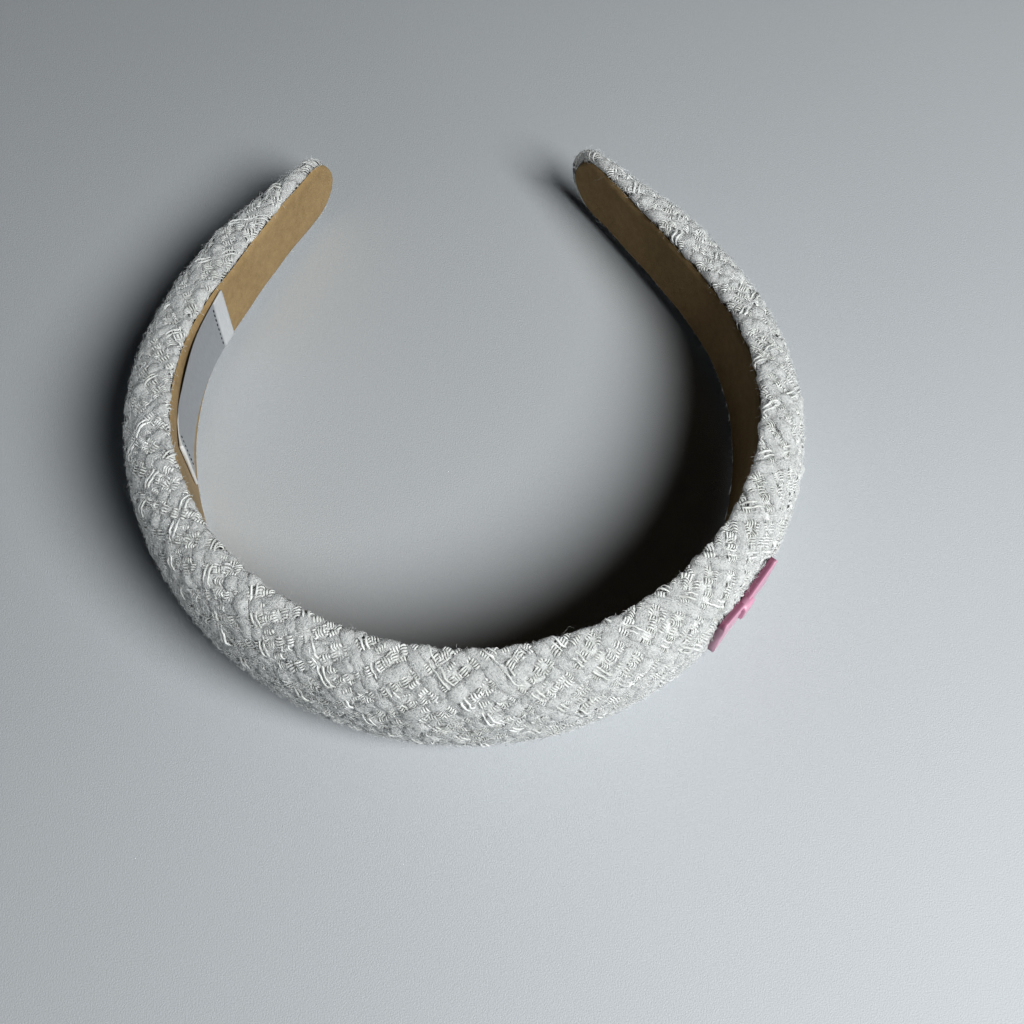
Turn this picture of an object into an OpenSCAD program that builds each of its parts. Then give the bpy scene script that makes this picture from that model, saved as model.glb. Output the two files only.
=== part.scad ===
// Padded headband, lying on one edge of its band.
// X runs from ear to ear, the crown of the band is towards -Y and its two tips towards +Y.
// The band is wrapped round a circle that meets two nearly straight arms.
// Lengths along the band are measured on the face that touches the head.
// It lies tipped back a little, on the straight part of its lower edge, and its tips stay clear.

/* [Head opening] */
// Radius of the round part of the face that touches the head
inner_radius = 62.3; // [54:0.1:72]
// How far the round part turns from the middle of the crown to each arm, in degrees
crown_sweep = 118.1; // [105:0.5:126]
// Length of each arm, from the end of the round part to the tip
arm_length = 48.6; // [32:0.5:64]
// Radius of the slight bend along each arm
arm_radius = 400; // [250:10:900]

/* [Padded band] */
// Height of the band at the middle of the crown
crown_width = 38.6; // [28:0.2:48]
// Height of the band near its tips
tip_width = 19.5; // [15:0.5:24]
// How far the band lies tipped back towards its tips, in degrees
lie_angle = 3; // [1:0.1:4]
// Depth of the padding over the crown
pad_depth = 11.6; // [7:0.1:16]
// Depth of the padding at the tips
tip_depth = 3.6; // [3:0.1:6]
// Share of the way to the tip at which the straight lower edge ends and the arm begins
taper_start = 0.48; // [0.44:0.01:0.6]
// How gently the arm narrows: less is quicker
taper_ease = 0.11; // [0.04:0.01:0.3]
// Share of the way to the tip at which the padding begins to thin
thin_start = 0.78; // [0.5:0.01:0.9]
// Length of the rounded end of each tip
tip_round = 7.5; // [5:0.1:9]
// Fullness of the padded section: 2 is an ellipse, more is squarer
fullness = 2.3; // [2:0.1:3]
// Size of the turned-in edge between the padding and the lining
edge_roll = 1.6; // [1:0.1:2.4]

/* [Lining] */
// Thickness of the lining
lining_thickness = 1; // [0.8:0.1:2]
// Distance from the lining's end to the tip of the padding
lining_inset = 1.8; // [1:0.1:4]

/* [Label] */
// Length of the label along the band
label_length = 43; // [20:0.5:50]
// Thickness of the label
label_thickness = 1; // [0.6:0.1:1.5]
// Distance from the tip of the band to the label
label_from_tip = 48; // [35:0.5:60]
// Strip of lining left bare along each side of the label
label_margin = 0.8; // [0.4:0.1:3]

/* [Ornament] */
// Distance of the ornament's middle from the middle of the crown
ornament_from_crown = 52; // [40:0.5:70]
// Length of the ornament along the band
ornament_length = 20; // [14:0.5:28]
// Height of the ornament
ornament_height = 15.5; // [12:0.5:20]
// Thickness of the ornament's wings
ornament_thickness = 2; // [1.4:0.1:3.5]
// How deep the ornament is pressed into the padding
ornament_sink = 1.6; // [1.2:0.1:2.6]
// How far the knot stands out beyond the wings
knot_rise = 0.7; // [0.3:0.1:1.5]

/* [Clearance] */
// Gap between pieces that lie on each other
seat_gap = 0.1; // [0.05:0.05:0.3]

/* [Hidden] */

// Steps along the band, round its section and round each tip
band_steps = 64;
dome_steps = 16;
roll_steps = 3;
tip_angles = [10, 24, 38, 54, 72];
label_steps = 14;

// The padding lies behind the lining
pad_base = lining_thickness + seat_gap;
arc_length = inner_radius * crown_sweep * PI / 180;
half_length = arc_length + arm_length;
outer_radius = inner_radius + pad_base + pad_depth;
// The ornament is pressed flat against the padding, square to the band at its own place
ornament_turn = ornament_from_crown / inner_radius * 180 / PI;
ornament_normal = [sin(ornament_turn), -cos(ornament_turn), 0];
ornament_seat = outer_radius - ornament_sink;
// Depth that stays at the very end of a tip, as a share of the tip's depth
end_share = 0.35;
// Power that rounds the start of the taper
taper_power = 2;
// Largest share of the height or depth that the turned-in edges take
roll_share = 0.3;

// Turn of the band at a length from the middle of the crown, in degrees
function turn_at(s) = s <= arc_length
    ? s / inner_radius * 180 / PI
    : crown_sweep + (s - arc_length) / arm_radius * 180 / PI;

// Point of the face that touches the head, on the right half, about the middle of the round part
function right_point(s) = let (
        t = turn_at(s),
        r = s <= arc_length ? inner_radius : arm_radius,
        shift = s <= arc_length ? 0 : inner_radius - arm_radius
    ) [r * sin(t) + shift * sin(crown_sweep), -r * cos(t) - shift * cos(crown_sweep)];

// The same for both halves: lengths below 0 lie on the left half
function side(s) = s < 0 ? -1 : 1;
function face_point(s) = let (p = right_point(abs(s))) [side(s) * p[0], p[1]];
function face_normal(s) = let (t = turn_at(abs(s))) [side(s) * sin(t), -cos(t)];

// How far back from the crown the lower edge of the padding is at a length s
function edge_back(s) = let (out = pad_base + edge_roll)
    face_point(s)[1] + face_normal(s)[1] * out + inner_radius + out;

// Height of the band at a length s if its lower edge stayed straight, seen from the side
function straight_width(s) = crown_width - 2 * tan(lie_angle) * edge_back(s);

// Share of the taper that is done at a length s: 0 over the crown, 1 at the tip
function taper_done(s) = let (
        v = pow(max(0, (abs(s) / half_length - taper_start) / (1 - taper_start)), taper_power)
    ) v * (1 + taper_ease) / (v + taper_ease);
function band_width(s) = let (w = straight_width(s)) w + (tip_width - w) * taper_done(s);

// Share of the thinning that is done at a length s
function thin_done(s) = let (
        v = max(0, (abs(s) / half_length - thin_start) / (1 - thin_start))
    ) (1 - cos(180 * v)) / 2;
function band_depth(s) = pad_depth - (pad_depth - tip_depth) * thin_done(s);

// The turned-in edge at a section, kept inside a thin or low one
function roll_in(d) = min(edge_roll, roll_share * d);
function roll_up(w) = min(edge_roll, roll_share * w);

// Section of the padding as [depth, height] points: a full dome in front, rolled edges behind
function dome_part(x) = pow(max(0, x), 2 / fullness);
function pad_section(w, d) = let (ri = roll_in(d), ru = roll_up(w)) concat(
    [for (i = [1:roll_steps]) let (q = 90 - 90 * i / roll_steps)
        [ri * (1 - sin(q)), -(w / 2 - ru + ru * cos(q))]],
    [for (i = [1:dome_steps - 1]) let (q = -90 + 180 * i / dome_steps)
        [ri + (d - ri) * dome_part(cos(q)), sign(q) * w / 2 * dome_part(abs(sin(q)))]],
    [for (i = [0:roll_steps - 1]) let (q = 90 * i / roll_steps)
        [ri * (1 - sin(q)), w / 2 - ru + ru * cos(q)]],
    [[0, w / 2 - ru], [0, -(w / 2 - ru)]]
);

// Section of a flat strip as [depth, height] points, its long edges chamfered on the side of the head
function strip_section(w, d) = let (c = min(d, w) * 0.35)
    [[0, -w / 2 + c], [c, -w / 2], [d, -w / 2], [d, w / 2], [c, w / 2], [0, w / 2 - c]];

// Places along a piece whose ends are rounded, as [length, share of the full height]
function rounded_places(half, end_round) = concat(
    [for (q = tip_angles) [-half + end_round * (1 - cos(q)), sin(q)]],
    [for (i = [0:band_steps]) [(half - end_round) * (2 * i / band_steps - 1), 1]],
    [for (i = [len(tip_angles) - 1:-1:0]) let (q = tip_angles[i])
        [half - end_round * (1 - cos(q)), sin(q)]]
);

// A section set on the band at a length s, with its depth counted outwards from base
function placed(section, s, base) = let (p = face_point(s), n = face_normal(s))
    [for (q = section) [p[0] + n[0] * (base + q[0]), p[1] + n[1] * (base + q[0]), q[1]]];

// A point of the padding, pressed back where the ornament sits on it
function pressed(p) = p - ornament_normal * max(0, p * ornament_normal - ornament_seat);

// The sections of each soft piece
pad_rings = [for (c = rounded_places(half_length, tip_round))
    let (d = band_depth(c[0]) * (end_share + (1 - end_share) * c[1]))
        [for (p = placed(pad_section(band_width(c[0]) * c[1], d), c[0], pad_base)) pressed(p)]];
lining_half = half_length - lining_inset;
lining_round = tip_round - lining_inset / 2;
function lining_width(s) = band_width(s) - 2 * edge_roll;
lining_rings = [for (c = rounded_places(lining_half, lining_round))
    placed(strip_section(lining_width(c[0]) * c[1], lining_thickness), c[0], 0)];

// The label lies on the left arm and is as wide as the lining lets it be at its far end
label_end = half_length - label_from_tip;
label_width = lining_width(label_end) - 2 * label_margin;
label_rings = [for (i = [0:label_steps])
    placed(strip_section(label_width, label_thickness), -label_end + label_length * i / label_steps,
        -(label_thickness + seat_gap))];

// The band as it lies, with its origin at the middle of its box on the surface that it lies on
lie_turn = [-lie_angle, 0, 0];
function lying(p) = [p[0], p[1] * cos(lie_angle) + p[2] * sin(lie_angle),
    p[2] * cos(lie_angle) - p[1] * sin(lie_angle)];
lying_points = [for (ring = pad_rings) for (p = ring) lying(p)];
y_low = min([for (p = lying_points) p[1]]);
y_high = max([for (p = lying_points) p[1]]);
z_low = min([for (p = lying_points) p[2]]);
origin_shift = [0, -(y_low + y_high) / 2, -z_low];

// Closed skin over a row of sections that all have as many points
module skin(rings) {
    m = len(rings[0]);
    last = len(rings) - 1;
    polyhedron(
        points = [for (ring = rings) each ring],
        faces = concat(
            [[for (j = [m - 1:-1:0]) j]],
            [for (i = [0:last - 1], j = [0:m - 1]) let (k = (j + 1) % m)
                [i * m + j, i * m + k, (i + 1) * m + k, (i + 1) * m + j]],
            [[for (j = [0:m - 1]) last * m + j]]
        )
    );
}

// One wing of the bow: a rounded triangle that widens away from the knot
wing_round = 2.4;
root_round = 1.6;
knot_radius = 2.8;
module wing(direction) {
    far = ornament_length / 2 - wing_round;
    high = ornament_height / 2 - wing_round;
    hull() {
        for (up = [-1, 1]) translate([direction * far, up * high]) circle(r = wing_round, $fn = 24);
        translate([direction * root_round, 0]) circle(r = root_round, $fn = 24);
    }
}

// Puts what it holds in the lying pose
module lie() {
    translate(origin_shift) rotate(lie_turn) children();
}

module padded_band() {
    color("gainsboro") lie() skin(pad_rings);
}

module suede_lining() {
    color("tan") lie() skin(lining_rings);
}

module satin_label() {
    color("silver") lie() skin(label_rings);
}

module pink_ornament() {
    color("hotpink") lie() rotate([0, 0, ornament_turn])
        translate([0, -ornament_seat - seat_gap, 0]) rotate([90, 0, 0]) {
            linear_extrude(ornament_thickness) {
                wing(-1);
                wing(1);
            }
            cylinder(r = knot_radius, h = ornament_thickness + knot_rise, $fn = 48);
        }
}

padded_band();
suede_lining();
satin_label();
pink_ornament();
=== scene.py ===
# Padded headband in white tweed, dressed for the camera.
# The sizes and rules of its shape are those of part.scad, in metres.
import math

import bmesh
import bpy
import numpy as np
from mathutils import Matrix, Vector


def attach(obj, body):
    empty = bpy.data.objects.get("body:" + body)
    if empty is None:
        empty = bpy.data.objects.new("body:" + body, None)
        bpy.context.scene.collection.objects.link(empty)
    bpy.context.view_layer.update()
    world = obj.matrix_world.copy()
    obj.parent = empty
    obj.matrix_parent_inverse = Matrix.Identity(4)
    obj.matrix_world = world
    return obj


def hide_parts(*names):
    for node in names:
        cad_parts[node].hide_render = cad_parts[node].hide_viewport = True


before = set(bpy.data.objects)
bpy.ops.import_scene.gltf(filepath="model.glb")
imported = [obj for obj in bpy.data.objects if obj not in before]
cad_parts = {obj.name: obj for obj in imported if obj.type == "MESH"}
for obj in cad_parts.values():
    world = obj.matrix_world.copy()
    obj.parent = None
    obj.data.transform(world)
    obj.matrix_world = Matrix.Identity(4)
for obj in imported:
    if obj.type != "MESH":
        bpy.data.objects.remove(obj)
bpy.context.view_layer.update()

mm = 0.001

# Head opening
inner_radius = 62.3 * mm
crown_sweep = math.radians(118.1)
arm_length = 48.6 * mm
arm_radius = 400 * mm

# Padded band
crown_width = 38.6 * mm
tip_width = 19.5 * mm
lie_angle = math.radians(3)
pad_depth = 11.6 * mm
tip_depth = 3.6 * mm
taper_start = 0.48
taper_ease = 0.11
thin_start = 0.78
tip_round = 7.5 * mm
fullness = 2.3
edge_roll = 1.6 * mm
end_share = 0.35
roll_share = 0.3

# Lining and label
lining_thickness = 1 * mm
lining_inset = 1.8 * mm
label_length = 43 * mm
label_from_tip = 48 * mm
label_margin = 0.8 * mm
seat_gap = 0.1 * mm

# Ornament
ornament_from_crown = 52 * mm
ornament_length = 20 * mm
ornament_height = 15.5 * mm
ornament_thickness = 2 * mm
ornament_sink = 1.6 * mm
knot_rise = 0.7 * mm

pad_base = lining_thickness + seat_gap
arc_length = inner_radius * crown_sweep
half_length = arc_length + arm_length
outer_radius = inner_radius + pad_base + pad_depth
ornament_turn = ornament_from_crown / inner_radius
ornament_normal = np.array([math.sin(ornament_turn), -math.cos(ornament_turn), 0])
ornament_seat = outer_radius - ornament_sink

# How much shorter the left arm is than the right one, and where that begins, counted from its tip
left_drawn_in = 1.1 * mm
drawn_in_from = 25 * mm

# Where the crown passes into an arm, counted from the middle of the crown
arm_starts = 100 * mm
arm_reached = 125 * mm


# Shape of the band, at lengths from the middle of the crown that are below 0 on the left

def turn_at(lengths):
    """Turn of the band away from the middle of the crown."""
    lengths = np.abs(lengths)
    return np.where(lengths <= arc_length, lengths / inner_radius,
                    crown_sweep + (lengths - arc_length) / arm_radius)


def face_points(lengths):
    """Points of the face that touches the head."""
    turn = turn_at(lengths)
    is_arm = np.abs(lengths) > arc_length
    radius = np.where(is_arm, arm_radius, inner_radius)
    shift = np.where(is_arm, inner_radius - arm_radius, 0)
    x = radius * np.sin(turn) + shift * math.sin(crown_sweep)
    y = -radius * np.cos(turn) - shift * math.cos(crown_sweep)
    return np.stack([np.sign(lengths) * x, y], -1)


def face_normals(lengths):
    """Directions square to that face, away from the head."""
    turn = turn_at(lengths)
    return np.stack([np.sign(lengths) * np.sin(turn), -np.cos(turn)], -1)


def taper_done(lengths):
    """Share of the taper that is done: 0 over the crown, 1 at the tips."""
    share = np.abs(lengths) / half_length
    past = np.maximum(0, (share - taper_start) / (1 - taper_start)) ** 2
    return past * (1 + taper_ease) / (past + taper_ease)


def band_width(lengths):
    """Height of the band: its lower edge is straight from the crown to the shoulders."""
    out = pad_base + edge_roll
    back = face_points(lengths)[..., 1] + face_normals(lengths)[..., 1] * out + inner_radius + out
    straight = crown_width - 2 * math.tan(lie_angle) * back
    return straight + (tip_width - straight) * taper_done(lengths)


def band_depth(lengths):
    """Depth of the padding, which thins towards the tips."""
    past = np.maximum(0, (np.abs(lengths) / half_length - thin_start) / (1 - thin_start))
    return pad_depth - (pad_depth - tip_depth) * (1 - np.cos(math.pi * past)) / 2


def lining_width(lengths):
    return band_width(lengths) - 2 * edge_roll


def on_arm(lengths):
    """How far a place is on an arm: 0 over the crown, 1 on the arm."""
    return np.clip((np.abs(lengths) - arm_starts) / (arm_reached - arm_starts), 0, 1)


def shorter_left(lengths):
    """The lengths with the left arm drawn in a little towards its tip."""
    near_tip = np.clip((-lengths - half_length + drawn_in_from) / drawn_in_from, 0, 1)
    return lengths + left_drawn_in * near_tip ** 2


def set_on_band(depth, height, lengths):
    """Points at a depth outwards from the face and a height, at lengths along the band."""
    lengths = shorter_left(lengths)
    plan = face_points(lengths) + face_normals(lengths) * depth[..., None]
    return np.concatenate([plan, height[..., None]], -1)


def pressed(points):
    """The padding is flat where the ornament is pressed against it."""
    over = np.maximum(0, points @ ornament_normal - ornament_seat)
    return points - over[..., None] * ornament_normal


def tipped(points):
    """The points tipped back as the band lies."""
    x, y, z = points[..., 0], points[..., 1], points[..., 2]
    cosine, sine = math.cos(lie_angle), math.sin(lie_angle)
    return np.stack([x, y * cosine + z * sine, z * cosine - y * sine], -1)


def rounded_places(step, tip_steps):
    """Lengths along the band with its rounded tips, and the share of the full height at each."""
    turns = np.linspace(0, math.pi / 2, tip_steps, endpoint=False)
    near_tip = half_length - tip_round * (1 - np.cos(turns))
    middle = np.linspace(tip_round - half_length, half_length - tip_round, int(2 * half_length / step))
    lengths = np.concatenate([-near_tip, middle, near_tip[::-1]])
    return lengths, np.concatenate([np.sin(turns), np.ones(len(middle)), np.sin(turns)[::-1]])


# Steps round each rolled edge and round the dome
roll_steps, dome_steps = 8, 120


def pad_outline(width, depth):
    """Section of the padding as depths and heights, from the middle of its back all round."""
    roll_in = min(edge_roll, roll_share * depth)
    roll_up = min(edge_roll, roll_share * width)
    flat = width / 2 - roll_up
    turns = np.linspace(math.pi / 2, 0, roll_steps + 1)[1:]
    low = np.stack([roll_in * (1 - np.sin(turns)), -(flat + roll_up * np.cos(turns))], -1)
    turns = np.linspace(-math.pi / 2, math.pi / 2, dome_steps + 1)[1:-1]
    power = 2 / fullness
    dome = np.stack([roll_in + (depth - roll_in) * np.cos(turns) ** power,
                     np.sign(turns) * width / 2 * np.abs(np.sin(turns)) ** power], -1)
    high = low[::-1] * [1, -1]
    middle = [[0, 0]]
    return np.concatenate([middle, [[0, -flat]], low, dome, high, [[0, flat]], middle])


def run_along(points):
    """How far along its line each point is."""
    return np.concatenate([[0], np.cumsum(np.linalg.norm(np.diff(points, axis=0), axis=1))])


def unit(vectors):
    return vectors / np.maximum(np.linalg.norm(vectors, axis=-1, keepdims=True), 1e-12)


# The face of the cloth as a grid: rows along the band, columns once round it at even steps
columns = 241
least_width = 0.02 * mm
places, shares = rounded_places(step=1 * mm, tip_steps=14)


def cloth_rows():
    """Rows of the grid on the upright band, half of each row's way round, and where its back edge is."""
    rows, reach, back_edge = [], [], []
    for length, share in zip(places, shares):
        depth = band_depth(length) * (end_share + (1 - end_share) * share)
        width = max(band_width(length) * share, least_width)
        outline = pad_outline(width, depth)
        run = run_along(outline)
        even = np.linspace(0, run[-1], columns)
        section = np.stack([np.interp(even, run, outline[:, k]) for k in (0, 1)], -1)
        rows.append(set_on_band(pad_base + section[:, 0], section[:, 1], np.full(columns, length)))
        reach.append(run[-1] / 2)
        back_edge.append(run[-1] / 2 - (width / 2 - min(edge_roll, roll_share * width)))
    return np.array(rows), np.array(reach), np.array(back_edge)


upright, reach, back_edge = cloth_rows()
cloth_face = tipped(pressed(upright))
low, high = cloth_face.min((0, 1)), cloth_face.max((0, 1))
origin_shift = np.array([0, -(low[1] + high[1]) / 2, -low[2]])
cloth_face += origin_shift
cloth_normal = unit(np.cross(np.gradient(cloth_face, axis=0), np.gradient(cloth_face, axis=1)))

# Run of the cloth along its middle, from the crown
middle_run = run_along(cloth_face[:, columns // 2])
cloth_run = middle_run - middle_run[-1] / 2

# How far the cloth goes round before the lining hides it
cloth_under_lining = 1.3 * mm
past_straight = (np.abs(places) - (half_length - lining_inset - tip_round)) / tip_round
lining_share = np.clip(1 - past_straight, 0, 1)
lining_half = lining_width(places) / 2 * np.sqrt(1 - (1 - lining_share) ** 2)
half_back = reach - back_edge
cloth_edge = back_edge + np.clip(half_back - (lining_half - cloth_under_lining), 0, half_back)


def lying(points):
    """The band as it lies, with its origin at the middle of its box on the floor."""
    return tipped(points) + origin_shift


def on_cloth(along, across, above):
    """Points at a run along the cloth, a run up across it and a height above its face."""
    row = np.interp(along, cloth_run, np.arange(len(cloth_run)))
    col = (across / np.interp(row, np.arange(len(reach)), reach) + 1) / 2 * (columns - 1)
    # Kept just inside the last column
    col = np.clip(col, 0, columns - 1.001)
    i, j = np.minimum(row.astype(int), len(reach) - 2), col.astype(int)
    u, v = (row - i)[:, None], (col - j)[:, None]

    def read(grid):
        return (grid[i, j] * (1 - u) * (1 - v) + grid[i + 1, j] * u * (1 - v)
                + grid[i, j + 1] * (1 - u) * v + grid[i + 1, j + 1] * u * v)

    return read(cloth_face) + unit(read(cloth_normal)) * above[:, None]


# Nodes, objects and meshes

class Bench:
    """Adds nodes to a tree and joins them."""

    def __init__(self, tree):
        self.tree = tree

    def add(self, kind, values=None, **settings):
        node = self.tree.nodes.new(kind)
        for key, value in settings.items():
            setattr(node, key, value)
        for key, value in (values or {}).items():
            self.give(node.inputs[key], value)
        return node

    def give(self, socket, value):
        if isinstance(value, bpy.types.NodeSocket):
            self.tree.links.new(value, socket)
        else:
            socket.default_value = value

    def maths(self, operation, *values):
        return self.add("ShaderNodeMath", dict(enumerate(values)), operation=operation).outputs[0]

    def vector_maths(self, operation, *values, out=0):
        node = self.add("ShaderNodeVectorMath", dict(enumerate(values)), operation=operation)
        return node.outputs[out]

    def vector(self, x=0.0, y=0.0, z=0.0):
        return self.add("ShaderNodeCombineXYZ", {0: x, 1: y, 2: z}).outputs[0]

    def shape(self, kind, values=None, **settings):
        return self.add("GeometryNode" + kind, values, **settings).outputs[0]

    def row(self, count, first, spacing):
        """Points in a row along X."""
        return self.shape("MeshLine", {"Count": count, "Start Location": self.vector(first),
                                       "Offset": self.vector(spacing)})

    def copied(self, points, instance, **values):
        """A copy of a shape on each point, as plain geometry."""
        copies = self.shape("InstanceOnPoints", {"Points": points, "Instance": instance, **values})
        return self.shape("RealizeInstances", {"Geometry": copies})

    def random(self, least, most, seed):
        return self.add("FunctionNodeRandomValue", {"Min": least, "Max": most, "Seed": seed}).outputs["Value"]

    def noise(self, place, scale, detail, seed=None, **values):
        """A noise in space, or with a seed in four dimensions."""
        values = {"Vector": place, "Scale": scale, "Detail": detail, **values}
        if seed is None:
            return self.add("ShaderNodeTexNoise", values).outputs
        return self.add("ShaderNodeTexNoise", {**values, "W": seed}, noise_dimensions="4D").outputs

    def strayed(self, place, scale, detail, reach, seed=None):
        """An offset that strays to all sides."""
        colour = self.noise(place, scale, detail, seed)["Color"]
        centred = self.vector_maths("SUBTRACT", colour, (0.5, 0.5, 0.5))
        return self.add("ShaderNodeVectorMath", {0: centred, "Scale": reach}, operation="SCALE").outputs[0]

    def turned(self, rotation, x=0.0, z=0.0):
        """A rotation turned further about its own axes."""
        further = self.add("FunctionNodeEulerToRotation", {0: self.vector(x=x, z=z)}).outputs[0]
        return self.add("FunctionNodeRotateRotation", {"Rotation": rotation, "Rotate By": further},
                        rotation_space="LOCAL").outputs[0]

    def finish(self, shape, given, put):
        """Every geometry tree ends smooth, realized and in its material."""
        shape = self.shape("SetShadeSmooth", {"Geometry": shape})
        shape = self.shape("RealizeInstances", {"Geometry": shape})
        shape = self.shape("SetMaterial", {"Geometry": shape, "Material": given["Material"]})
        self.give(put["Geometry"], shape)


def new_group(name, kind, inputs, outputs):
    """A node group with named inputs, each a first value or a kind of socket, and named outputs."""
    tree = bpy.data.node_groups.new(name, kind)
    for label, value in inputs.items():
        socket = {float: "NodeSocketFloat", int: "NodeSocketInt"}.get(type(value), value)
        item = tree.interface.new_socket(label, in_out="INPUT", socket_type=socket)
        if socket != value:
            item.default_value = value
    for label, socket in outputs.items():
        tree.interface.new_socket(label, in_out="OUTPUT", socket_type=socket)
    bench = Bench(tree)
    return tree, bench, bench.add("NodeGroupInput").outputs, bench.add("NodeGroupOutput").inputs


def new_shape_group(name, inputs):
    """A geometry tree with a geometry, a material and other named inputs."""
    geometry = {"Geometry": "NodeSocketGeometry"}
    inputs = {**geometry, "Material": "NodeSocketMaterial", **inputs}
    return new_group(name, "GeometryNodeTree", inputs, geometry)


def put_in_scene(name, data):
    obj = bpy.data.objects.new(name, data)
    bpy.context.scene.collection.objects.link(obj)
    return obj


def grown(obj, tree, values):
    """The object with what a geometry tree makes of it, as a plain mesh."""
    modifier = obj.modifiers.new(tree.name, "NODES")
    modifier.node_group = tree
    sockets = {item.name: item.identifier for item in tree.interface.items_tree
               if item.item_type == "SOCKET" and item.in_out == "INPUT"}
    for label, value in values.items():
        modifier[sockets[label]] = value
    seen = obj.evaluated_get(bpy.context.evaluated_depsgraph_get())
    result = bpy.data.meshes.new_from_object(seen)
    obj.modifiers.clear()
    obj.data = result
    return obj


def points_of(mesh):
    flat = np.empty(len(mesh.vertices) * 3)
    mesh.vertices.foreach_get("co", flat)
    return flat.reshape(-1, 3)


def corners_of(mesh):
    corners = np.empty(len(mesh.loops), int)
    mesh.loops.foreach_get("vertex_index", corners)
    return corners


def mesh_of(name, points, faces, smooth=True):
    mesh = bpy.data.meshes.new(name)
    mesh.from_pydata([tuple(p) for p in points], [], [tuple(int(k) for k in f) for f in faces])
    mesh.polygons.foreach_set("use_smooth", [smooth] * len(mesh.polygons))
    mesh.update()
    return mesh


def lay_pattern(mesh, pattern):
    """The mesh's UV map, from a place in the pattern for each of its points."""
    mesh.uv_layers.new(name="thread").data.foreach_set("uv", pattern[corners_of(mesh)].ravel())


def add_mask(mesh, name, values):
    mesh.attributes.new(name, "FLOAT", "POINT").data.foreach_set("value", values)


def face_outwards(mesh):
    """Merges doubled points and turns the faces of each closed shell outwards."""
    shell = bmesh.new()
    shell.from_mesh(mesh)
    bmesh.ops.remove_doubles(shell, verts=shell.verts, dist=1e-6)
    bmesh.ops.recalc_face_normals(shell, faces=shell.faces)
    shell.to_mesh(mesh)
    shell.free()


def grid_faces(rows, cols, closed=False):
    """Faces of a grid of points whose columns may close on themselves."""
    i, j = np.meshgrid(np.arange(rows - 1), np.arange(cols if closed else cols - 1), indexing="ij")
    k = (j + 1) % cols
    return np.stack([i * cols + j, i * cols + k, (i + 1) * cols + k, (i + 1) * cols + j], -1).reshape(-1, 4)


def belongs(piece):
    """The piece goes with the band."""
    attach(piece, "root")


# Materials

def make_grain():
    """Fine fibres: streaks along one axis of a pattern, broken up, with cloudy patches."""
    tree, bench, given, put = new_group(
        "fibre grain", "ShaderNodeTree",
        {"Vector": "NodeSocketVector", "Along": 300.0, "Across": 2400.0, "Patches": 120.0},
        {"Streaks": "NodeSocketFloat", "Cloud": "NodeSocketFloat"})
    stretch = bench.vector(given["Along"], given["Across"], given["Across"])
    stretched = bench.vector_maths("MULTIPLY", given["Vector"], stretch)
    bench.give(put["Streaks"], bench.noise(stretched, 1.0, 3.0, Roughness=0.6)["Fac"])
    bench.give(put["Cloud"], bench.noise(given["Vector"], given["Patches"], 2.0)["Fac"])
    return tree


grain = make_grain()


class Surface(Bench):
    """A material with one Principled BSDF, whose plain values are set on its own sockets."""

    def __init__(self, name, **settings):
        self.material = bpy.data.materials.new(name)
        self.material.use_nodes = True
        super().__init__(self.material.node_tree)
        self.inputs = self.tree.nodes["Principled BSDF"].inputs
        for label, value in settings.items():
            self.inputs[label.replace("_", " ")].default_value = value

    def grain_at(self, place, along, across, patches):
        values = {"Vector": place, "Along": along, "Across": across, "Patches": patches}
        return self.add("ShaderNodeGroup", values, node_tree=grain).outputs

    def grain_in_space(self, *sizes):
        return self.grain_at(self.add("ShaderNodeTexCoord").outputs["Object"], *sizes)

    def grain_on_thread(self, *sizes):
        return self.grain_at(self.add("ShaderNodeUVMap", uv_map="thread").outputs[0], *sizes)

    def ramp(self, fac, stops):
        node = self.add("ShaderNodeValToRGB", {"Fac": fac})
        for k, (place, colour) in enumerate(stops):
            stop = node.color_ramp.elements[k] if k < 2 else node.color_ramp.elements.new(place)
            stop.position, stop.color = place, (*colour, 1)
        return node.outputs["Color"]

    def masked(self, mask, first, second):
        """The first colour where the piece's mask is 0, the second where it is 1."""
        node = self.add("ShaderNodeMix", data_type="RGBA")
        factor, one, other = (s for s in node.inputs if s.enabled)
        self.give(factor, self.add("ShaderNodeAttribute", attribute_name=mask).outputs["Fac"])
        self.give(one, first)
        self.give(other, second)
        return next(s for s in node.outputs if s.enabled)

    def cover(self, colour, height, distance, strength=1.0):
        """Gives the material its colour and its bumps."""
        bump = self.add("ShaderNodeBump", {"Height": height, "Distance": distance, "Strength": strength})
        self.give(self.inputs["Base Color"], colour)
        self.give(self.inputs["Normal"], bump.outputs[0])
        return self.material


def fluffy_yarn():
    look = Surface("fluffy white yarn", Roughness=0.85, Sheen_Weight=0.5, Sheen_Roughness=0.4,
                   Specular_IOR_Level=0.25, Subsurface_Weight=0.75, Subsurface_Scale=1.8 * mm,
                   Subsurface_Radius=(1, 1, 1))
    fibres = look.grain_on_thread(10.0, 42.0, 3.0)
    clumps = look.grain_in_space(1900.0, 1900.0, 420.0)
    tone = look.maths("MULTIPLY", fibres["Streaks"], 0.55)
    tone = look.maths("MULTIPLY_ADD", clumps["Streaks"], 0.45, tone)
    # The dark specks in the yarn's colour are partly its own uneven tone and partly painted shade between its
    # fibres
    speckled_with_shade = [(0.37, (0.44, 0.455, 0.47)), (0.58, (0.91, 0.92, 0.93)), (0.45, (0.79, 0.8, 0.81))]
    height = look.maths("MULTIPLY_ADD", clumps["Cloud"], 0.8, tone)
    return look.cover(look.ramp(tone, speckled_with_shade), height, 1.5 * mm)


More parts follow.
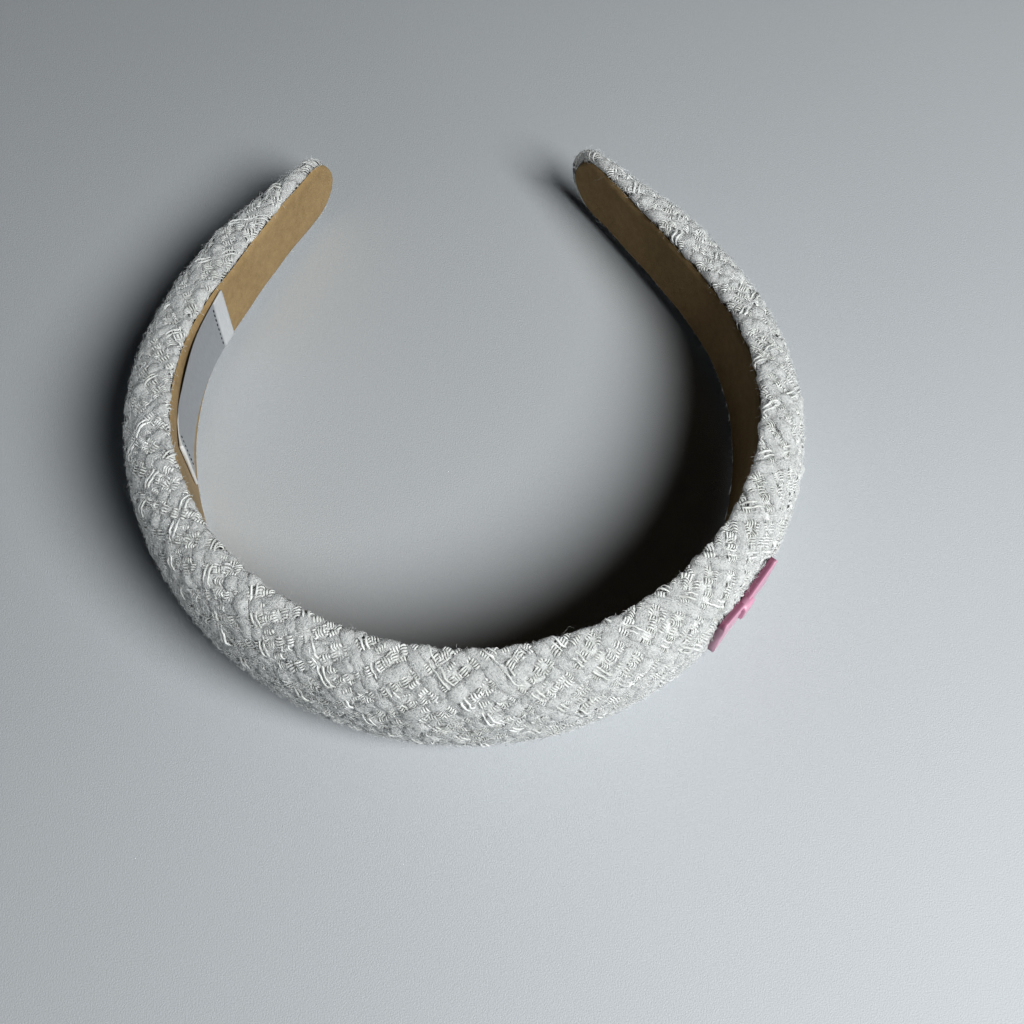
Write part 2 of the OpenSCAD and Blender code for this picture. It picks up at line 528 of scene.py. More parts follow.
def yarn_fuzz():
    look = Surface("white fuzz", Roughness=0.8, Sheen_Weight=0.3, Specular_IOR_Level=0.3)
    fibres = look.grain_in_space(300.0, 300.0, 1200.0)
    colour = look.ramp(fibres["Cloud"], [(0.38, (0.7, 0.71, 0.72)), (0.6, (0.95, 0.955, 0.96))])
    look.give(look.inputs["Base Color"], colour)
    return look.material


def shiny_thread():
    look = Surface("shiny white thread", Roughness=0.42, Coat_Weight=0.2, Coat_Roughness=0.18,
                   Specular_IOR_Level=0.6)
    fibres = look.grain_on_thread(2.0, 60.0, 0.9)
    colour = look.ramp(fibres["Cloud"], [(0.35, (0.72, 0.725, 0.71)), (0.6, (0.87, 0.875, 0.875))])
    return look.cover(colour, fibres["Streaks"], 0.05 * mm, 0.5)


def cloth_ground():
    look = Surface("tweed ground", Roughness=0.95, Sheen_Weight=0.3, Subsurface_Weight=0.7,
                   Subsurface_Scale=1.8 * mm, Subsurface_Radius=(1, 1, 1))
    fibres = look.grain_in_space(1500.0, 1500.0, 300.0)
    colour = look.ramp(fibres["Streaks"], [(0.3, (0.78, 0.785, 0.785)), (0.7, (0.9, 0.905, 0.905))])
    return look.cover(colour, fibres["Streaks"], 0.4 * mm)


def suede():
    look = Surface("tan suede", Roughness=0.95, Sheen_Weight=0.08, Sheen_Roughness=0.5,
                   Specular_IOR_Level=0.2)
    nap = look.grain_in_space(2600.0, 2600.0, 60.0)
    brushed = look.grain_in_space(520.0, 520.0, 200.0)
    tone = look.maths("MULTIPLY", nap["Cloud"], 0.3)
    tone = look.maths("MULTIPLY_ADD", nap["Streaks"], 0.35, tone)
    tone = look.maths("MULTIPLY_ADD", brushed["Streaks"], 0.35, tone)
    colour = look.ramp(tone, [(0.3, (0.33, 0.236, 0.128)), (0.7, (0.52, 0.385, 0.226))])
    height = look.maths("MULTIPLY_ADD", brushed["Streaks"], 0.6, nap["Streaks"])
    return look.cover(colour, height, 0.2 * mm, 0.8)


def satin():
    """A thin tape, greyer where the lining shows through it and paler where it lies double; on its curled
    near end and upper edge the pale is also a painted highlight.
    """
    look = Surface("pale satin", Roughness=0.42, Sheen_Weight=0.15, Specular_IOR_Level=0.5)
    weave = look.grain_on_thread(3.0, 60.0, 2.0)
    single = look.ramp(weave["Streaks"], [(0.2, (0.295, 0.31, 0.34)), (0.8, (0.4, 0.415, 0.445))])
    # The pale colour where the tape lies double is also a painted highlight on its curled near end and upper
    # edge
    double = look.ramp(weave["Streaks"], [(0.2, (0.7, 0.71, 0.74)), (0.8, (0.84, 0.85, 0.87))])
    return look.cover(look.masked("folded", single, double), weave["Streaks"], 0.06 * mm, 0.6)


def sewing_thread():
    look = Surface("dark sewing thread", Roughness=0.7, Specular_IOR_Level=0.3)
    ply = look.grain_in_space(3000.0, 3000.0, 500.0)
    colour = look.ramp(ply["Streaks"], [(0.3, (0.012, 0.012, 0.014)), (0.7, (0.05, 0.05, 0.055))])
    return look.cover(colour, ply["Streaks"], 0.05 * mm)


def pink_resin():
    look = Surface("pink resin", Roughness=0.38, Coat_Weight=0.25, Coat_Roughness=0.25)
    cast = look.grain_in_space(500.0, 500.0, 90.0)
    face = look.ramp(cast["Cloud"], [(0.3, (0.68, 0.37, 0.5)), (0.7, (0.76, 0.44, 0.57))])
    # The side walls are coloured a darker pink than the face: painted shade
    side = look.ramp(cast["Cloud"], [(0.3, (0.24, 0.1, 0.15)), (0.7, (0.32, 0.135, 0.2))])
    look.give(look.inputs["Roughness"], look.maths("MULTIPLY_ADD", cast["Streaks"], 0.18, 0.3))
    return look.cover(look.masked("side", face, side), cast["Streaks"], 0.02 * mm, 0.4)


def pale_table():
    look = Surface("pale table", Roughness=0.55, Specular_IOR_Level=0.4)
    pebble = look.grain_in_space(3200.0, 3200.0, 6.0)
    colour = look.ramp(pebble["Cloud"], [(0.3, (0.585, 0.603, 0.635)), (0.7, (0.61, 0.627, 0.66))])
    return look.cover(colour, pebble["Streaks"], 0.16 * mm, 0.7)


yarn_white = fluffy_yarn()
thread_white = shiny_thread()
fuzz_white = yarn_fuzz()
ground_white = cloth_ground()
tan_suede = suede()
pale_satin = satin()
stitch_dark = sewing_thread()
resin_pink = pink_resin()
table_pale = pale_table()


# Camera, light and table

camera_spot = (-7.8 * mm, -126.1 * mm, 253.5 * mm)
# Heading, tilt and roll of the camera, in degrees
camera_turns = ((-9.0, "Z"), (23.58, "X"), (5.62, "Z"))


def set_camera():
    data = bpy.data.cameras.new("camera")
    data.sensor_width = 36
    data.lens = 41.75
    camera = put_in_scene("camera", data)
    place = Matrix.Translation(camera_spot)
    for degrees, axis in camera_turns:
        place = place @ Matrix.Rotation(math.radians(degrees), 4, axis)
    camera.matrix_world = place
    bpy.context.scene.camera = camera


def soft_light(name, azimuth, elevation, distance, size, power, colour):
    """A soft round light that faces the middle of the headband."""
    data = bpy.data.lights.new(name, "AREA")
    data.shape = "DISK"
    data.size = size
    data.energy = power
    data.color = colour
    light = put_in_scene(name, data)
    a, e = math.radians(azimuth), math.radians(elevation)
    way = Vector((math.cos(e) * math.cos(a), math.cos(e) * math.sin(a), math.sin(e)))
    facing = way.to_track_quat("Z", "Y").to_matrix().to_4x4()
    light.matrix_world = Matrix.Translation(way * distance) @ facing
    return light


def set_room():
    """A dark room with hardly any light of its own."""
    world = bpy.data.worlds.new("room")
    world.use_nodes = True
    background = world.node_tree.nodes["Background"]
    background.inputs["Color"].default_value = (0.6, 0.82, 1.0, 1)
    background.inputs["Strength"].default_value = 0.008
    bpy.context.scene.world = world
    bpy.context.scene.view_settings.view_transform = "Standard"
    bpy.context.scene.view_settings.look = "High Contrast"


def set_table():
    corners = [(-2, -2, 0), (2, -2, 0), (2, 2, 0), (-2, 2, 0)]
    table = put_in_scene("table", mesh_of("table", corners, [(0, 1, 2, 3)], smooth=False))
    table.data.materials.append(table_pale)


set_camera()
soft_light("window", azimuth=-44, elevation=49.5, distance=0.82, size=0.44, power=5.4,
           colour=(0.98, 1.0, 0.98))
set_room()
set_table()


# Tweed

# The cloth is woven flat, on the bias, and then laid round the padding
weave_angle = math.radians(40)
slot = 2.75 * mm
cloth_lift = -0.85 * mm
floor_gap = 0.05 * mm
thread_pattern_size = 10 * mm
# It thins over the last part of each tip
thin_from, thin_to, tip_thinness = 20 * mm, 2 * mm, 0.25
# It is calmer beside the lining and bulges where it turns in there, less so at the arms' lower edge
calm_from, edge_calm = 4 * mm, 0.55
seam_fold, fold_place, fold_reach, fold_lost_below = 1.0 * mm, 1.1 * mm, 2.8 * mm, 0.7
# The ground lies inside the face of the padding, less so where the padding is thin
ground_sink, ground_sink_share = 0.68 * mm, 0.3
# Noise seldom strays more than a quarter from its middle
noise_reach = 4.0
wander_scale, uneven_scale = 210.0, 330.0


def make_yarn_tree():
    """Yarns of one direction in flat cloth, each passing over and under the slots that cross it."""
    tree, bench, given, put = new_shape_group("woven yarns", {
        "Length": 0.42, "Height": 0.11, "Angle": weave_angle, "Slot": slot, "Every": 1.0, "First": 0.0,
        "Crimp": 0.5 * mm, "Flatness": 1.5, "Cycle": 2.0, "Stagger": 0.5, "Strands": 1.0, "Strand gap": 0.0,
        "Width": 3 * mm, "Thickness": 1.4 * mm, "Swell": 0.15, "Wander": 0.5 * mm, "Uneven": 0.5,
        "Fluff": 0.2 * mm, "Fluff size": 900.0, "Step": 0.7 * mm, "Sides": 10, "Seed": 1})
    maths = bench.maths

    # One yarn from edge to edge, and a row of such yarns
    sine, cosine = maths("SINE", given["Angle"]), maths("COSINE", given["Angle"])
    half = maths("MULTIPLY", given["Height"], 0.5)
    end_x = maths("MULTIPLY", half, maths("DIVIDE", cosine, sine))
    start = bench.vector(maths("MULTIPLY", end_x, -1.0), maths("MULTIPLY", half, -1.0))
    line = bench.shape("CurvePrimitiveLine", {"Start": start, "End": bench.vector(end_x, half)})
    steps = maths("DIVIDE", maths("DIVIDE", given["Height"], sine), given["Step"])
    line = bench.shape("ResampleCurve", {"Curve": line, "Count": steps})
    pace = maths("DIVIDE", given["Slot"], sine)
    spacing = maths("MULTIPLY", pace, given["Every"])
    side_count = maths("FLOOR", maths("DIVIDE", given["Length"], maths("MULTIPLY", spacing, 2.0)))
    count = maths("MULTIPLY_ADD", side_count, 2.0, 1.0)
    first = maths("MULTIPLY", maths("MULTIPLY", side_count, spacing), -1.0)
    first = maths("MULTIPLY_ADD", given["First"], pace, first)
    yarns = bench.copied(bench.row(count, first, spacing), line)

    # Each yarn rises and sinks as it passes, and wanders
    place = bench.shape("InputPosition")
    way = bench.vector(cosine, sine)
    side = bench.vector(maths("MULTIPLY", sine, -1.0), cosine)
    passed = maths("DIVIDE", bench.vector_maths("DOT_PRODUCT", place, way, out=1), given["Slot"])
    beside = maths("DIVIDE", bench.vector_maths("DOT_PRODUCT", place, side, out=1), given["Slot"])
    stagger = maths("MULTIPLY", maths("ROUND", beside), given["Stagger"])
    phase = maths("SUBTRACT", maths("DIVIDE", passed, given["Cycle"]), stagger)
    swing = maths("COSINE", maths("MULTIPLY", phase, 2 * math.pi))
    flattened = maths("TANH", maths("MULTIPLY", swing, given["Flatness"]))
    wave = maths("DIVIDE", flattened, maths("TANH", given["Flatness"]))
    wander = bench.strayed(place, wander_scale, 2.0, maths("MULTIPLY", given["Wander"], noise_reach),
                           maths("MULTIPLY", given["Seed"], 7.3))
    lift = bench.vector(z=maths("MULTIPLY", wave, given["Crimp"]))
    yarns = bench.shape("SetPosition", {"Geometry": yarns, "Offset": bench.vector_maths("ADD", lift, wander)})

    # It swells and thins, and may be a comb of strands side by side
    patch = bench.noise(place, uneven_scale, 1.0, given["Seed"])["Fac"]
    uneven = maths("MULTIPLY", maths("SUBTRACT", patch, 0.5), given["Uneven"])
    radius = maths("ADD", maths("MULTIPLY_ADD", wave, given["Swell"], 1.0), uneven)
    yarns = bench.shape("SetCurveRadius", {"Curve": yarns, "Radius": radius})
    yarns = bench.shape("SetCurveNormal", {"Curve": yarns}, mode="Z_UP")
    ring = bench.shape("CurvePrimitiveCircle", {"Resolution": given["Sides"], "Radius": 0.5})
    size = bench.vector(given["Width"], given["Thickness"], 1.0)
    ring = bench.shape("Transform", {"Geometry": ring, "Scale": size})
    spread = maths("MULTIPLY", maths("SUBTRACT", given["Strands"], 1.0), given["Strand gap"])
    comb = bench.row(given["Strands"], maths("MULTIPLY", spread, -0.5), given["Strand gap"])
    tubes = bench.shape("CurveToMesh", {"Curve": yarns, "Profile Curve": bench.copied(comb, ring)})

    fluff = bench.strayed(place, given["Fluff size"], 2.0, maths("MULTIPLY", given["Fluff"], noise_reach),
                          maths("MULTIPLY", given["Seed"], 3.1))
    tubes = bench.shape("SetPosition", {"Geometry": tubes, "Offset": fluff})
    bench.finish(tubes, given, put)
    return tree


yarn_tree = make_yarn_tree()


def keep_faces(mesh, kept):
    """The points in use and the renumbered faces, of the faces whose points are all kept."""
    faces = corners_of(mesh).reshape(-1, 4)
    good = kept[faces].all(1)
    used = np.unique(faces[good])
    renumber = np.full(len(kept), -1)
    renumber[used] = np.arange(len(used))
    return used, renumber[faces[good]]


cloth_pieces = []


def woven(name, angle, material, lift=0.0, **values):
    """One direction of yarns, woven flat and laid round the padding."""
    labels = {label.replace("_", " "): value for label, value in values.items()}
    yarns = grown(put_in_scene(name, bpy.data.meshes.new(name)), yarn_tree,
                  {"Angle": angle, "Material": material, **labels})
    points = points_of(yarns.data)
    along, across = points[:, 0], points[:, 1]
    inside = (np.abs(along) < cloth_run[-1]) & (np.abs(across) < np.interp(along, cloth_run, cloth_edge))
    used, faces = keep_faces(yarns.data, inside)
    points, along, across = points[used], along[used], across[used]

    thin = np.interp(np.abs(along), [cloth_run[-1] - thin_from, cloth_run[-1] - thin_to], [1, tip_thinness])
    past_edge = np.abs(across) - np.interp(along, cloth_run, back_edge)
    calm = np.interp(past_edge, [-calm_from, 0], [1, edge_calm])
    turned_in = np.clip(1 - np.abs(past_edge + fold_place) / fold_reach, 0, 1)
    fold = seam_fold * turned_in * (1 - fold_lost_below * (across < 0) * on_arm(along))
    laid = on_cloth(along, across, (cloth_lift + (points[:, 2] + lift) * calm + fold) * thin)
    laid[:, 2] = np.maximum(laid[:, 2], floor_gap)

    mesh = mesh_of(name, laid, faces)
    down_yarn = along * math.cos(angle) + across * math.sin(angle)
    beside = across * math.cos(angle) - along * math.sin(angle)
    lay_pattern(mesh, np.stack([down_yarn, beside], -1) / thread_pattern_size)
    mesh.materials.append(material)
    yarns.data = mesh
    belongs(yarns)
    cloth_pieces.append(yarns)


def make_ground():
    """The cloth under the yarns, closed all round and at both tips."""
    padding = np.linalg.norm(cloth_face[:, columns // 2] - cloth_face[:, 0], axis=1)
    sunk = np.minimum(ground_sink, ground_sink_share * padding)[:, None, None]
    inner = (cloth_face - cloth_normal * sunk)[::2, :-1:4]
    rows, cols = inner.shape[:2]
    faces = [tuple(f[::-1]) for f in grid_faces(rows, cols, closed=True)]
    faces += [tuple(range(cols)), tuple(range((rows - 1) * cols, rows * cols))[::-1]]
    ground = put_in_scene("tweed_ground", mesh_of("tweed_ground", inner.reshape(-1, 3), faces))
    face_outwards(ground.data)
    ground.data.materials.append(ground_white)
    belongs(ground)
    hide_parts("padded_band")
    cloth_pieces.append(ground)


def make_yarns():
    """Fat fluffy yarns, combs of thin threads between them, and floating pairs of threads."""
    cross_angle = weave_angle + math.pi / 2
    fat = {"Width": 3.35 * mm, "Thickness": 1.32 * mm, "Swell": 0.1, "Sides": 12, "Fluff": 0.31 * mm,
           "Fluff_size": 600.0, "Wander": 0.7 * mm, "Uneven": 0.55, "Step": 0.64 * mm}
    ladder = {"lift": 0.14 * mm, "Strands": 4.0, "Strand_gap": 0.6 * mm, "Width": 0.62 * mm,
              "Thickness": 0.32 * mm, "Swell": 0.0, "Flatness": 1.0, "Cycle": 1.0, "Wander": 0.5 * mm,
              "Fluff": 0.24 * mm, "Fluff_size": 640.0, "Uneven": 0.9, "Sides": 3, "Step": 0.43 * mm}
    floating = {"lift": 0.42 * mm, "Strands": 2.0, "Strand_gap": 1.1 * mm, "Width": 0.56 * mm,
                "Thickness": 0.46 * mm, "Swell": 0.15, "Flatness": 0.5, "Cycle": 2.6, "Stagger": 0.31,
                "Wander": 0.6 * mm, "Fluff": 0.3 * mm, "Fluff_size": 640.0, "Uneven": 0.7, "Sides": 5,
                "Step": 0.55 * mm}
    woven("fluffy_yarns", weave_angle, yarn_white, Every=2.0, First=0.0, Crimp=0.24 * mm, Seed=3, **fat)
    woven("fluffy_cross_yarns", cross_angle, yarn_white,
          Every=4.0, First=1.0, Crimp=-0.27 * mm, Seed=5, **fat)
    woven("ladder_threads", weave_angle, thread_white,
          Every=2.0, First=1.0, Crimp=0.46 * mm, Seed=7, **ladder)
    for first in (0, 3):
        woven(f"ladder_cross_threads_{first}", cross_angle, thread_white,
              Every=4.0, First=float(first), Crimp=-0.48 * mm, Seed=8 + first, **ladder)
    woven("floating_threads", cross_angle, thread_white,
          Every=4.0, First=2.0, Crimp=-0.5 * mm, Seed=14, **floating)


def make_fuzz_tree():
    """Fine curled fibres that stand off a face."""
    tree, bench, given, put = new_shape_group("fuzz", {
        "Density": 3e5, "Length": 2.2 * mm, "Thickness": 0.05 * mm, "Curl": 1.2 * mm, "Curl size": 600.0,
        "Least tilt": 0.6, "Most tilt": 1.5, "Points": 4, "Seed": 1})
    maths = bench.maths
    spots = bench.add("GeometryNodeDistributePointsOnFaces",
                      {"Mesh": given["Geometry"], "Density": given["Density"], "Seed": given["Seed"]}).outputs
    fibre = bench.shape("CurvePrimitiveLine", {"End": bench.vector(z=given["Length"])})
    fibre = bench.shape("ResampleCurve", {"Curve": fibre, "Count": given["Points"]})
    tilt = bench.random(given["Least tilt"], given["Most tilt"], 1)
    spin = bench.random(0.0, 2 * math.pi, 2)
    turn = bench.turned(spots["Rotation"], tilt, spin)
    fibres = bench.copied(spots["Points"], fibre, Rotation=turn, Scale=bench.random(0.45, 1.5, 3))
    share = bench.add("GeometryNodeSplineParameter").outputs["Factor"]
    curl = maths("MULTIPLY", maths("MULTIPLY", given["Curl"], 2.5), share)
    curled = bench.strayed(bench.shape("InputPosition"), given["Curl size"], 1.0, curl)
    fibres = bench.shape("SetPosition", {"Geometry": fibres, "Offset": curled})
    narrowing = maths("MULTIPLY_ADD", share, -0.55, 1.0)
    fibres = bench.shape("SetCurveRadius", {"Curve": fibres, "Radius": narrowing})
    radius = maths("MULTIPLY", given["Thickness"], 0.5)
    ring = bench.shape("CurvePrimitiveCircle", {"Resolution": 3, "Radius": radius})
    bench.finish(bench.shape("CurveToMesh", {"Curve": fibres, "Profile Curve": ring}), given, put)
    return tree


fuzz_tree = make_fuzz_tree()


def cloth_patch(margin=4, cols=60):
    """The seen face of the cloth as a mesh, for the fuzz to grow on."""
    rows = np.arange(margin, len(cloth_run) - margin)
    along, level = np.repeat(cloth_run[rows, None], cols, 1), np.linspace(-1, 1, cols)
    across = level[None] * cloth_edge[rows, None]
    points = on_cloth(along.ravel(), across.ravel(), np.zeros(along.size))
    return mesh_of("patch", points, grid_faces(*along.shape)[:, ::-1])


def make_fuzz():
    short = {"Density": 6.1e5, "Length": 1.3 * mm, "Thickness": 0.065 * mm, "Curl": 0.7 * mm,
             "Curl size": 1100.0, "Least tilt": 1.2, "Points": 3}
    wisps = {"Density": 1e4, "Length": 2.8 * mm, "Thickness": 0.03 * mm, "Curl": 2.4 * mm, "Curl size": 420.0,
             "Least tilt": 0.9, "Points": 6}
    for seed, (name, sizes) in enumerate({"fuzz_0": short, "fuzz_1": short, "wisps": wisps}.items()):
        fuzz = grown(put_in_scene(name, cloth_patch()), fuzz_tree,
                     {**sizes, "Seed": 4 + seed, "Material": fuzz_white})
        points = points_of(fuzz.data)
        points[:, 2] = np.maximum(points[:, 2], floor_gap)
        fuzz.data.vertices.foreach_set("co", points.ravel())
        belongs(fuzz)
        cloth_pieces.append(fuzz)


make_ground()
make_yarns()
make_fuzz()


# Lining

# The lining passes the end of the padding at the left tip and stops short of it at the right one
left_inset, right_inset = -0.5 * mm, 2.1 * mm
lining_face, lining_trim = 0.4 * mm, 0.35 * mm
lining_step = 1.2 * mm
# How much lower it reaches along the arms
arm_drop = 0.9 * mm
# The cloth overhangs it over the crown
crown_overhang, overhang_fades, overhang_ends = 0.5 * mm, 60 * mm, 80 * mm
# Its edges waver in two waves, and its face ripples
edge_waver, slow_wave, quick_wave = 0.12 * mm, 5.1 * mm, 2.3 * mm
face_ripple, ripple_wave = 0.06 * mm, 3.7 * mm

strip_levels = np.array([-1, -0.97, -0.94, -0.9, -0.85, -0.75, -0.4, 0, 0.4, 0.75, 0.85, 0.9, 0.94, 0.97, 1])
strip_pattern_size = 20 * mm
edge_from, edge_share = 0.84, 0.16


def strip(name, places, half_height, face, back, material, turn_in):
    """A strip along the band: its two faces are depths at each length and level, and its edges turn in."""
    turn_in = np.clip((np.abs(strip_levels) - edge_from) / edge_share, 0, 1) ** 1.5 * turn_in
    cols = 2 * len(strip_levels)
    lengths = np.repeat(places[:, None], cols, 1)
    levels = np.repeat(np.concatenate([strip_levels, strip_levels[::-1]])[None], len(places), 0)
    face_depth, back_depth = face(lengths, levels), back(lengths, levels)
    inward = (back_depth - face_depth) * np.concatenate([turn_in, turn_in * 0])[None]
    depth = np.where(np.arange(cols) < len(strip_levels), face_depth + inward, back_depth)
    points = lying(set_on_band(depth, half_height(lengths, levels), lengths)).reshape(-1, 3)
    faces = [tuple(f) for f in grid_faces(len(places), cols, closed=True)]
    faces += [tuple(range(cols))[::-1], tuple(range((len(places) - 1) * cols, len(places) * cols))]
    mesh = mesh_of(name, points, faces)
    mesh.materials.append(material)
    lay_pattern(mesh, np.stack([levels, lengths / strip_pattern_size], -1).reshape(-1, 2))
    return put_in_scene(name, mesh)


def lining_level(lengths, levels):
    """Height of a point of the lining: its ends are rounded and its edges waver a little."""
    end = np.where(lengths < 0, half_length - left_inset, half_length - right_inset)
    round_share = np.clip((end - np.abs(lengths)) / (tip_round - left_inset / 2), 0, 1)
    lower = arm_drop * on_arm(lengths) * np.clip(-levels, 0, 1)
    half = (lining_width(lengths) / 2 - lining_trim + lower) * np.sqrt(1 - (1 - round_share) ** 2)
    wave = np.sin(lengths / slow_wave) + np.sin(lengths / quick_wave + 1)
    return half * levels + edge_waver * wave * levels ** 2 * round_share


def overhang(lengths):
    """How much deeper the lining lies under the cloth over the crown."""
    share = (overhang_ends - np.abs(lengths)) / (overhang_ends - overhang_fades)
    return crown_overhang * np.clip(share, 0, 1)


def lining_front(lengths, levels):
    ripple = face_ripple * np.sin(lengths / ripple_wave) * (1 + levels)
    return lining_face + ripple + overhang(lengths)


def lining_back(lengths, levels):
    return lining_thickness + overhang(lengths) / 2


def make_lining():
    ends = tip_round * (1 - np.cos(np.linspace(0.12, math.pi / 2, 10, endpoint=False)))
    left, right = left_inset - half_length, half_length - right_inset
    middle = np.arange(left + tip_round, right - tip_round, lining_step)
    lengths = np.concatenate([left + ends, middle, (right - ends)[::-1]])
    lining = strip("lining", lengths, lining_level, lining_front, lining_back, tan_suede, turn_in=0.9)
    belongs(lining)
    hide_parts("suede_lining")
    edge = np.ones(len(lengths))
    width = lining_level(lengths, edge) - lining_level(lengths, -edge)


make_lining()


# Label

label_end = half_length - label_from_tip
label_width = float(lining_width(np.array(label_end))) - 2 * label_margin
tape = 0.28 * mm
label_seat = 0.08 * mm
label_gape = 0.6 * mm
label_ripple = 0.05 * mm
held_until, held_over = 0.85, 0.2
fold_depth, fold_length, fold_edge = 0.25 * mm, 4.2 * mm, 0.5 * mm
roll_depth, roll_length = 0.55 * mm, 4 * mm
label_askew = 1.5 * mm


def label_back(lengths, levels):
    """Back of the label: its upper edge stands off the lining between its sewn ends."""
    far = np.clip((lengths + label_end) / label_length, 0, 1)
    held = np.sin(far * math.pi) ** 0.7 * np.clip((held_until - far) / held_over, 0, 1)
    gape = label_gape * np.clip(levels, 0, 1) ** 3 * held
    ripple = label_ripple * np.sin(far * 15) * (1 + 0.4 * levels)
    return lining_face - (label_seat + gape + ripple)


def label_front(lengths, levels):
    """Face of the label: the tape is folded under at its far end and rolled at its near end."""
    far = lengths + label_end
    near = label_length - far
    fold = fold_depth * np.clip((fold_length - far) / fold_edge, 0, 1)
    roll = roll_depth * np.clip((roll_length - near) / roll_length, 0, 1) ** 1.5 * (1 + 0.3 * levels)
    return label_back(lengths, levels) - tape - (fold + roll)


def label_level(lengths, levels):
    """The label is sewn on a little askew, its near end higher."""
    far = (lengths + label_end) / label_length
    return label_width / 2 * levels + label_askew * far ** 2


def label_doubled_and_highlit(lengths, cols):
    """Mask of where the tape lies double: its far fold, its near roll and its upper edge; on the near roll
    and that upper edge it is also a painted highlight of the curled tape.
    """
    far = np.repeat((lengths + label_end) / mm, cols)
    near = label_length / mm - far
    folded = np.maximum(np.clip((4.3 - far) / 0.4, 0, 1) * 0.75, np.clip((0.7 - near) / 0.3, 0, 1))
    is_high_edge = np.isin(np.arange(cols), (cols // 2 - 1, cols // 2))
    return np.maximum(folded, np.tile(is_high_edge, len(lengths)) * np.clip((9 - near) / 2, 0, 1))


def make_label():
    lengths = -label_end + label_length * np.linspace(0, 1, 120)
    label = strip("label", lengths, label_level, label_front, label_back, pale_satin, turn_in=0.2)
    belongs(label)
    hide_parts("satin_label")
    # Paler where the tape lies double, with a painted highlight on its curled near end and upper edge
    add_mask(label.data, "folded", label_doubled_and_highlit(lengths, 2 * len(strip_levels)))


make_label()


# Stitching

def make_stitch_tree():
    """Short stitches along a mesh of lines, each a little aslant."""
    tree, bench, given, put = new_shape_group("stitches", {
        "Pitch": 2.4 * mm, "Length": 1.2 * mm, "Thickness": 0.35 * mm, "Uneven": 0.15, "Seed": 1})
    line = bench.shape("MeshToCurve", {"Mesh": given["Geometry"]})
    spots = bench.add("GeometryNodeCurveToPoints", {"Curve": line, "Length": given["Pitch"]},
                      mode="LENGTH").outputs
    ball = bench.shape("MeshUVSphere", {"Segments": 8, "Rings": 6, "Radius": 0.5})
    size = bench.vector(given["Thickness"], given["Thickness"], given["Length"])
    ball = bench.shape("Transform", {"Geometry": ball, "Scale": size})
    slant = bench.random(bench.maths("MULTIPLY", given["Uneven"], -1.0), given["Uneven"], given["Seed"])
    turn = bench.turned(spots["Rotation"], slant)
    scale = bench.random(0.85, 1.15, given["Seed"])
    bench.finish(bench.copied(spots["Points"], ball, Rotation=turn, Scale=scale), given, put)
    return tree


stitch_tree = make_stitch_tree()


def make_label_stitches():
    """A row of stitches across each end of the label."""
    points, edges = [], []
    count = 24
    for far, low_level, high_level in ((4.6 * mm, -0.74, 0.74), (label_length - 4.2 * mm, -0.7, 0.7)):
        levels = np.linspace(low_level, high_level, count)
        lengths = np.full(count, far - label_end)
        row = lying(set_on_band(label_front(lengths, levels), label_level(lengths, levels), lengths))
        edges += [(len(points) + k, len(points) + k + 1) for k in range(count - 1)]
        points += [tuple(p) for p in row]
    lines = bpy.data.meshes.new("label_stitches")
    lines.from_pydata(points, edges, [])
    stitches = grown(put_in_scene("label_stitches", lines), stitch_tree, {
        "Pitch": 1.75 * mm, "Length": 1.05 * mm, "Thickness": 0.3 * mm, "Uneven": 0.12,
        "Material": stitch_dark})
    belongs(stitches)


make_label_stitches()


# Ornament

ring_steps = 64
wing_start, wing_corner, wing_waist, wing_bevel = 0.4 * mm, 1.6 * mm, 2.3 * mm, 0.25 * mm
gather_depth, gather_turns, gather_flare = 0.3 * mm, 7, 0.2 * mm
knot_half_width, knot_half_height, knot_base = 1.9 * mm, 2.8 * mm, 0.3 * mm


def squared(turns, power):
    """A square with rounded corners, as two columns from -1 to 1."""
    cosine, sine = np.cos(turns), np.sin(turns)
    return np.sign(cosine) * np.abs(cosine) ** power, np.sign(sine) * np.abs(sine) ** power


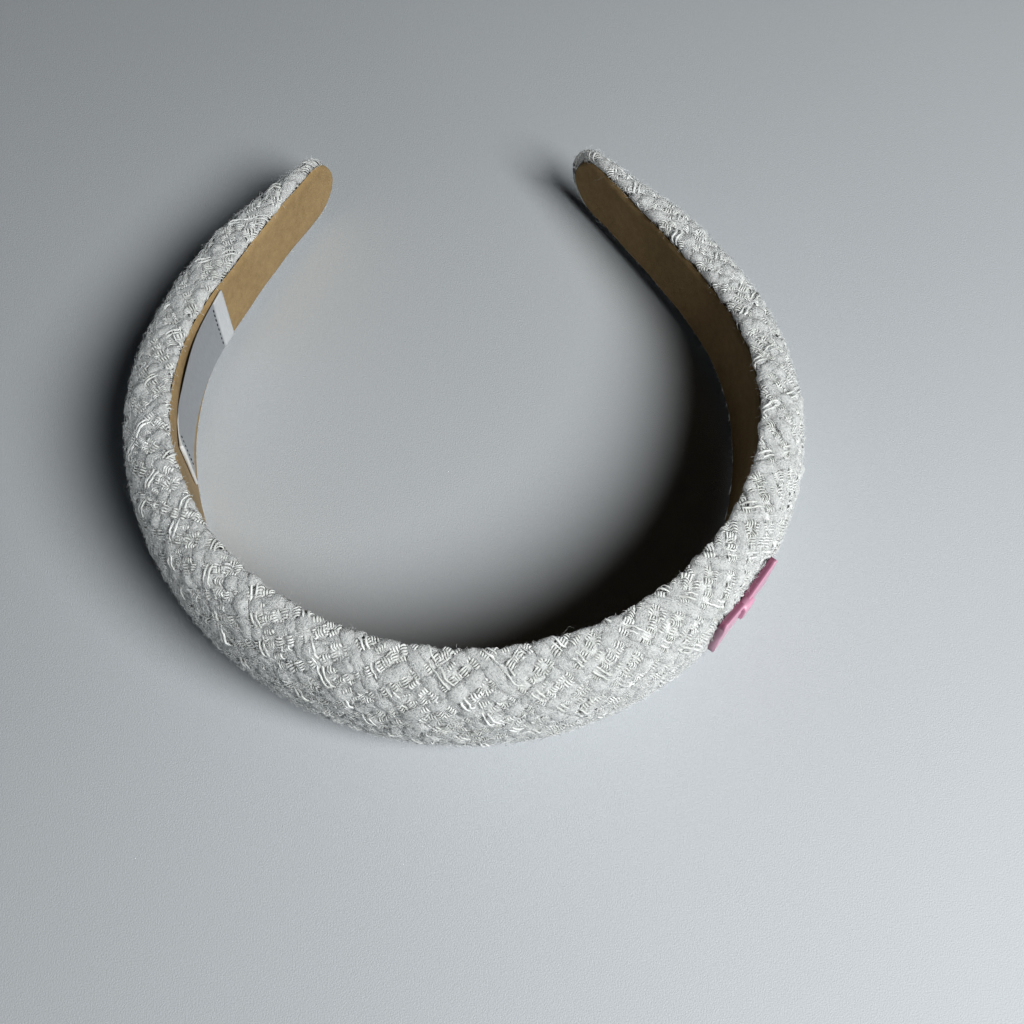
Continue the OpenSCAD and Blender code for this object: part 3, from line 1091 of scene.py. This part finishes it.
def wing_rows(direction, up, out):
    """Sections of one wing, from the knot to its rounded far corners."""
    far, thick = ornament_length / 2, ornament_thickness / 2
    rows = []
    ends = far - wing_corner * (1 - np.sin(np.linspace(0, math.pi / 2, 9)[1:]))
    for x in np.concatenate([np.linspace(wing_start, far - wing_corner, 30), ends]):
        share = x / far
        in_corner = max(0, x - far + wing_corner) / wing_corner
        cut = wing_corner * (1 - math.sqrt(max(0, 1 - in_corner ** 2)))
        height = wing_waist + (ornament_height / 2 - wing_waist) * min(1, share * 1.1) - cut
        gathered = gather_depth * np.cos(up * gather_turns) * (1 - share) ** 2
        gathered += gather_flare * share * up ** 2
        level = thick + out * thick - np.where(out > 0, wing_bevel - 0.6 * gathered, 0)
        rows.append(np.stack([np.full(ring_steps, direction * x), up * height, level], -1))
    return rows if direction > 0 else rows[::-1]


def knot_rows(up, out):
    """Sections of the knot over the wings, from its lower end to its upper one."""
    rows = []
    for turn in np.linspace(-1, 1, 15):
        bulge = 0.8 + 0.2 * math.sqrt(max(0.04, 1 - turn ** 6))
        top = (ornament_thickness + knot_rise) * bulge
        height = np.full(ring_steps, turn * knot_half_height)
        level = knot_base + (up + 1) / 2 * (top - knot_base)
        rows.append(np.stack([out * knot_half_width * bulge, height, level], -1))
    return rows


def make_bow():
    """A flat bow: two gathered wings with crisp edges, and a knot over them."""
    up, out = squared(np.linspace(0, 2 * math.pi, ring_steps, endpoint=False), power=0.22)
    points, faces = [], []
    for rows in (wing_rows(-1, up, out), wing_rows(1, up, out), knot_rows(up, out)):
        base, last = len(points), len(points) + (len(rows) - 1) * ring_steps
        points.extend(p for row in rows for p in row)
        faces.extend(tuple(base + k for k in f) for f in grid_faces(len(rows), ring_steps, closed=True))
        faces.append(tuple(range(base, base + ring_steps))[::-1])
        faces.append(tuple(range(last, last + ring_steps)))
    across, up_band, out_band = np.array(points).T
    back = -(ornament_seat + seat_gap + out_band)
    cosine, sine = math.cos(ornament_turn), math.sin(ornament_turn)
    seated = np.stack([across * cosine - back * sine, across * sine + back * cosine, up_band], -1)
    mesh = mesh_of("bow", lying(seated), faces)
    # Mask of the side walls, whose darker pink is painted shade
    add_mask(mesh, "side", np.clip((ornament_thickness * 0.8 - out_band) / wing_bevel, 0, 1))
    face_outwards(mesh)
    mesh.materials.append(resin_pink)
    bow = put_in_scene("bow", mesh)
    belongs(bow)
    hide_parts("pink_ornament")


make_bow()


def light_cloth():
    """A soft light from the left and behind on the cloth alone, so that the table keeps its shadow."""
    light = soft_light("cloth_fill", azimuth=160, elevation=27, distance=0.8, size=0.5, power=1.3,
                       colour=(0.97, 1.0, 1.0))
    lit = bpy.data.collections.new("lit cloth")
    for piece in cloth_pieces:
        lit.objects.link(piece)
    light.light_linking.receiver_collection = lit


light_cloth()
